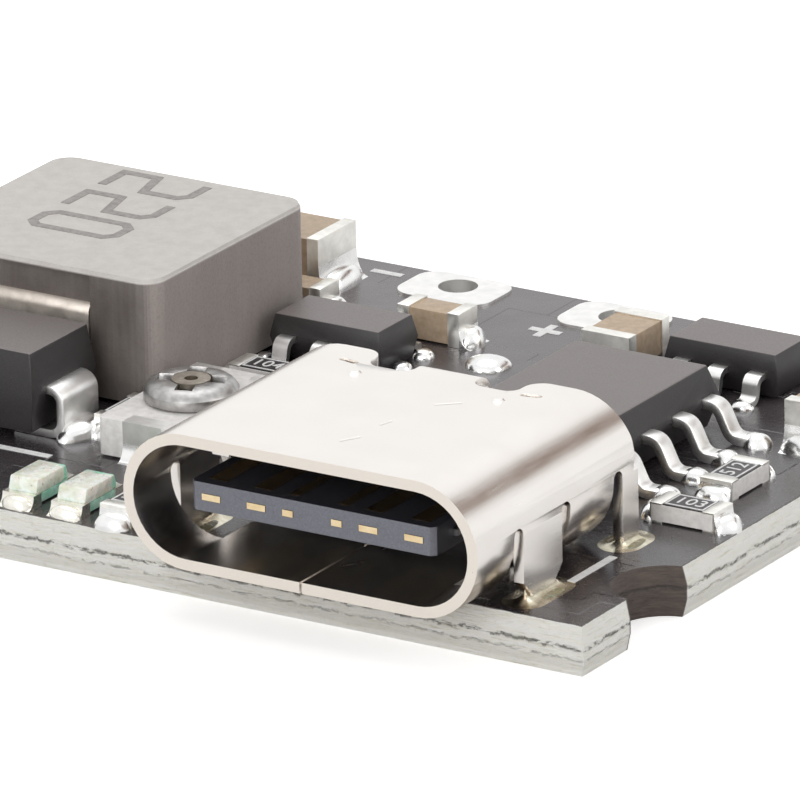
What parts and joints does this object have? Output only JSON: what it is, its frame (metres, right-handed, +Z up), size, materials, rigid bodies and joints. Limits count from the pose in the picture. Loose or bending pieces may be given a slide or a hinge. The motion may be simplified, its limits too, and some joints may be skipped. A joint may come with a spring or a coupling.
{
  "type": "lithium battery charger module",
  "caption": "Small black charger and boost circuit board with a USB-C power socket, moulded inductor, trimmer, chips, indicator lamps and plated wire holes.",
  "frame": {"origin": "middle of the board's flat underside", "axes": "+Z up through the board, -Y out of the USB socket's mouth, +X to the right seen from the mouth"},
  "size_m": [0.0236, 0.0191, 0.0043],
  "materials": {
    "solder_mask": "black solder mask, satin gloss, pale glass fibre at the edges",
    "tinned_copper": "tin plated, satin",
    "shell_steel": "nickel plated, smooth and bright",
    "insulator_plastic": "moulded, dark",
    "plate_steel": "bare",
    "gold_plate": "gold plated",
    "solder": "bright solder",
    "iron_powder": "pressed powder, lacquered, lighter on top",
    "moulding": "fine matt epoxy",
    "white_ceramic": "bare alumina",
    "rotor_metal": "stamped and plated",
    "brass": "bright",
    "lamp_base": "translucent laminate",
    "lamp_lens": "clear to pale yellow resin",
    "plated_end": "tinned",
    "resistor_coat": "glassy dark coat",
    "capacitor_ceramic": "fired, satin"
  },
  "bodies": {
    "module": {"board": "solder_mask", "wire_hole_plating": "tinned_copper", "test_pad": "solder", "usb_shell": "shell_steel", "usb_insulator": "insulator_plastic", "usb_mid_plate": "plate_steel", "usb_supply_contacts": "gold_plate", "usb_signal_contacts": "gold_plate", "usb_leg_solder": "solder", "usb_tail_solder": "solder", "inductor_body": "iron_powder", "inductor_front_strap": "tinned_copper", "inductor_rear_strap": "tinned_copper", "inductor_solder": "solder", "diode_body": "moulding", "diode_leads": "tinned_copper", "diode_solder": "solder", "charger_chip_body": "moulding", "charger_chip_leads": "tinned_copper", "charger_chip_solder": "solder", "boost_chip_body": "moulding", "boost_chip_leads": "tinned_copper", "boost_chip_solder": "solder", "protection_chip_body": "moulding", "protection_chip_leads": "tinned_copper", "protection_chip_solder": "solder", "trimmer_base": "white_ceramic", "trimmer_eyelet": "brass", "trimmer_terminals": "tinned_copper", "trimmer_solder": "solder", "charging_lamp_base": "lamp_base", "charging_lamp_lens": "lamp_lens", "charging_lamp_ends": "plated_end", "full_lamp_base": "lamp_base", "full_lamp_lens": "lamp_lens", "full_lamp_ends": "plated_end", "lamp_solder": "solder", "resistor_blocks": "white_ceramic", "resistor_coats": "resistor_coat", "resistor_ends": "plated_end", "resistor_solder": "solder", "capacitor_blocks": "capacitor_ceramic", "capacitor_ends": "plated_end", "capacitor_solder": "solder"},
    "rotor": {"trimmer_rotor": "rotor_metal"}
  },
  "joints": [
    {"name": "trimmer_turn", "type": "hinge", "parent": "module", "child": "rotor", "pos_m": [-0.00174, -0.003, 0.0021], "axis": [0, 0, 1], "range_deg": [-120, 120]}
  ]
}
